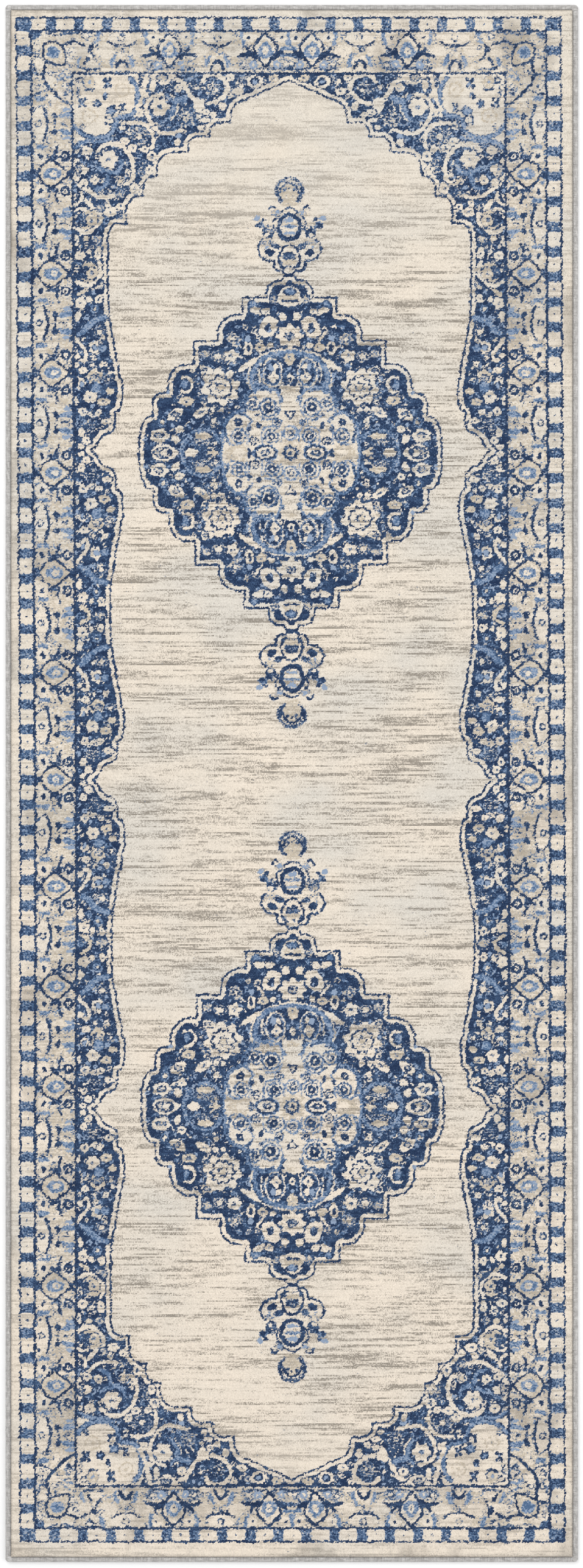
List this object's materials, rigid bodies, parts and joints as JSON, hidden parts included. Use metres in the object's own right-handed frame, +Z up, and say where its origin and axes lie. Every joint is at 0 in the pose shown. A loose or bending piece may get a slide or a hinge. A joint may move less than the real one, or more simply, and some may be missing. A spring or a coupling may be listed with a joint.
{
  "type": "runner rug",
  "caption": "Long flat pile rug with medallions, patterned borders and overcast serged edges, on a woven ground with a latex-sized back.",
  "frame": {"origin": "on the floor under the middle of the rug", "axes": "+X across the width, +Y along the length, +Z up out of the pile"},
  "size_m": [0.812, 2.21, 0.0092],
  "materials": {
    "pile_yarn": "short cut pile, matte",
    "ground_yarn": "woven, matte",
    "latex_back": "thin latex size over the weave",
    "serging_yarn": "overcast yarn, matte",
    "edge_cord": "twisted filler cord",
    "lock_thread": "thin sewing thread",
    "label_cloth": "blank woven tape",
    "label_thread": "sewing thread"
  },
  "bodies": {
    "root": {"pile_face": "pile_yarn", "ground_weave": "ground_yarn", "back_coat": "latex_back", "serging_left": "serging_yarn", "serging_right": "serging_yarn", "serging_far_end": "serging_yarn", "serging_near_end": "serging_yarn", "edge_cord_left": "edge_cord", "edge_cord_right": "edge_cord", "edge_cord_far_end": "edge_cord", "edge_cord_near_end": "edge_cord", "lock_thread_left": "lock_thread", "lock_thread_right": "lock_thread", "lock_thread_far_end": "lock_thread", "lock_thread_near_end": "lock_thread", "care_label": "label_cloth", "label_stitching": "label_thread"}
  },
  "joints": []
}
